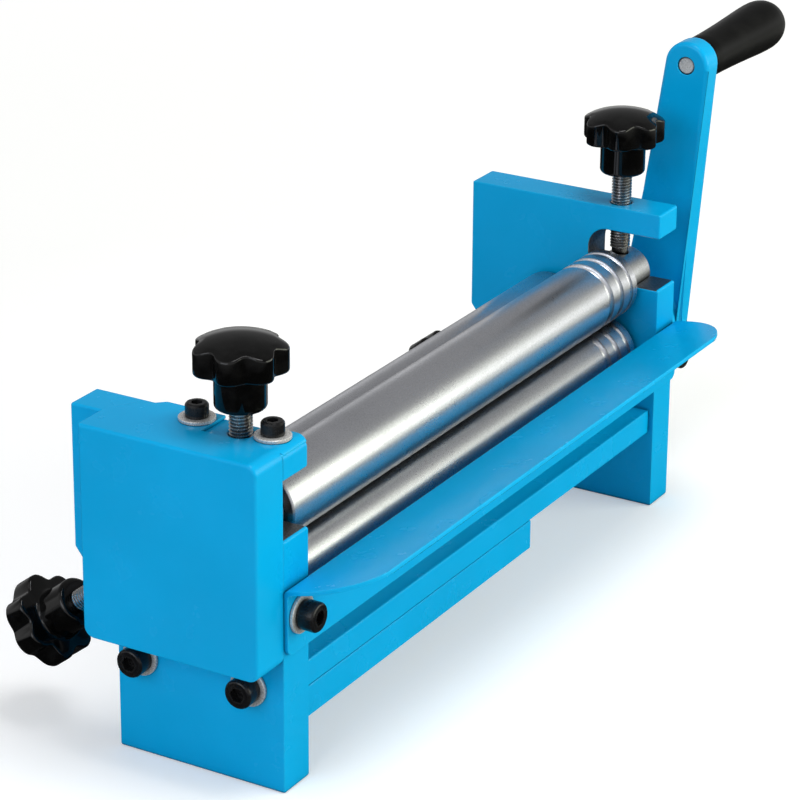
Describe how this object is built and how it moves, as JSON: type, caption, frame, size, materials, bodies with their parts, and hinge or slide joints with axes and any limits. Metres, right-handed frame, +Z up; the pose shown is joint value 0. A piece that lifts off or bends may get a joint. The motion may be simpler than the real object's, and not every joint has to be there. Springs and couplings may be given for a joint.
{
  "type": "slip roll machine",
  "caption": "Bench slip roll machine: geared pinch rolls and an adjustable rear roll between end plates, with star-knob screws, a feed tray and a side crank.",
  "frame": {"origin": "middle of the machine's footprint on the bench, level with the undersides of the end plates", "axes": "+X along the rolls towards the crank; +Z up; the feed tray faces -Y and the rear roll's screws point to +Y and down"},
  "size_m": [0.5032, 0.177, 0.2287],
  "materials": {
    "blue_paint": "smooth glossy sky blue enamel",
    "roll_steel": "ground and polished steel",
    "bush_steel": "turned steel",
    "gear_steel": "hobbed steel, lightly greased",
    "screw_steel": "bright rolled thread",
    "zinc_plate": "zinc plated",
    "knob_plastic": "glossy black moulded plastic",
    "grip_plastic": "satin black moulded plastic",
    "black_oxide": "black oxide steel"
  },
  "bodies": {
    "frame": {"left_end_plate": "blue_paint", "right_end_plate": "blue_paint", "bed_bar": "blue_paint", "vise_block": "blue_paint", "feed_tray": "blue_paint", "gear_cover": "blue_paint", "left_lower_bush": "bush_steel", "right_lower_bush": "bush_steel", "cover_screws": "black_oxide", "cover_washers": "zinc_plate", "left_frame_screws": "black_oxide", "right_frame_screws": "black_oxide", "left_frame_washers": "zinc_plate", "right_frame_washers": "zinc_plate", "tray_screws": "black_oxide", "tray_washers": "zinc_plate"},
    "lower_shaft": {"lower_roll": "roll_steel", "lower_gear": "gear_steel", "lower_gear_key": "gear_steel", "lower_gear_washer": "zinc_plate", "lower_gear_screw": "black_oxide", "crank_arm": "blue_paint", "crank_set_screw": "black_oxide", "grip_bolt": "screw_steel"},
    "grip": {"crank_grip": "grip_plastic"},
    "upper_bearings": {"left_upper_bush": "bush_steel", "right_upper_bush": "bush_steel"},
    "upper_shaft": {"upper_roll": "roll_steel", "upper_gear": "gear_steel", "upper_gear_key": "gear_steel", "upper_gear_washer": "zinc_plate", "upper_gear_screw": "black_oxide"},
    "left_lift": {"left_lift_screw": "screw_steel", "left_lift_knob": "knob_plastic"},
    "right_lift": {"right_lift_screw": "screw_steel", "right_lift_knob": "knob_plastic"},
    "rear_bearings": {"left_rear_bush": "bush_steel", "right_rear_bush": "bush_steel"},
    "rear_shaft": {"rear_roll": "roll_steel"},
    "left_rear": {"left_rear_screw": "screw_steel", "left_rear_knob": "knob_plastic"},
    "right_rear": {"right_rear_screw": "screw_steel", "right_rear_knob": "knob_plastic"}
  },
  "joints": [
    {"name": "crank_turn", "type": "hinge", "parent": "frame", "child": "lower_shaft", "pos_m": [-0.0517, -0.02777, 0.081], "axis": [1, 0, 0], "continuous": true},
    {"name": "grip_spin", "type": "hinge", "parent": "lower_shaft", "child": "grip", "pos_m": [0.1686, -0.04264, 0.21568], "axis": [1, 0, 0], "continuous": true},
    {"name": "upper_lift", "type": "slide", "parent": "frame", "child": "upper_bearings", "axis": [0, 0, 1], "range_m": [0, 0.003]},
    {"name": "upper_roll_spin", "type": "hinge", "parent": "upper_bearings", "child": "upper_shaft", "pos_m": [-0.0517, -0.02777, 0.1154], "axis": [1, 0, 0], "continuous": true},
    {"name": "left_lift_turn", "type": "hinge", "parent": "upper_bearings", "child": "left_lift", "pos_m": [-0.2222, -0.02777, 0.1534], "axis": [0, 0, 1], "range_deg": [0, 720]},
    {"name": "right_lift_turn", "type": "hinge", "parent": "upper_bearings", "child": "right_lift", "pos_m": [0.1188, -0.02777, 0.1534], "axis": [0, 0, 1], "range_deg": [0, 720]},
    {"name": "rear_shift", "type": "slide", "parent": "frame", "child": "rear_bearings", "axis": [0, 0.788, -0.6157], "range_m": [0, 0.016]},
    {"name": "rear_roll_spin", "type": "hinge", "parent": "rear_bearings", "child": "rear_shaft", "pos_m": [-0.0517, 0.00329, 0.0982], "axis": [1, 0, 0], "continuous": true},
    {"name": "left_rear_turn", "type": "hinge", "parent": "rear_bearings", "child": "left_rear", "pos_m": [-0.2222, 0.00329, 0.0982], "axis": [0, 0.788, -0.6157], "range_deg": [0, 3840]},
    {"name": "right_rear_turn", "type": "hinge", "parent": "rear_bearings", "child": "right_rear", "pos_m": [0.1188, 0.00329, 0.0982], "axis": [0, 0.788, -0.6157], "range_deg": [0, 3840]}
  ],
  "couplings": [
    {"joint": "upper_roll_spin", "follows": "crank_turn", "ratio": -1},
    {"joint": "left_lift_turn", "follows": "upper_lift", "rad_per_m": 4188.8},
    {"joint": "right_lift_turn", "follows": "upper_lift", "rad_per_m": 4188.8},
    {"joint": "left_rear_turn", "follows": "rear_shift", "rad_per_m": 4188.8},
    {"joint": "right_rear_turn", "follows": "rear_shift", "rad_per_m": 4188.8}
  ]
}
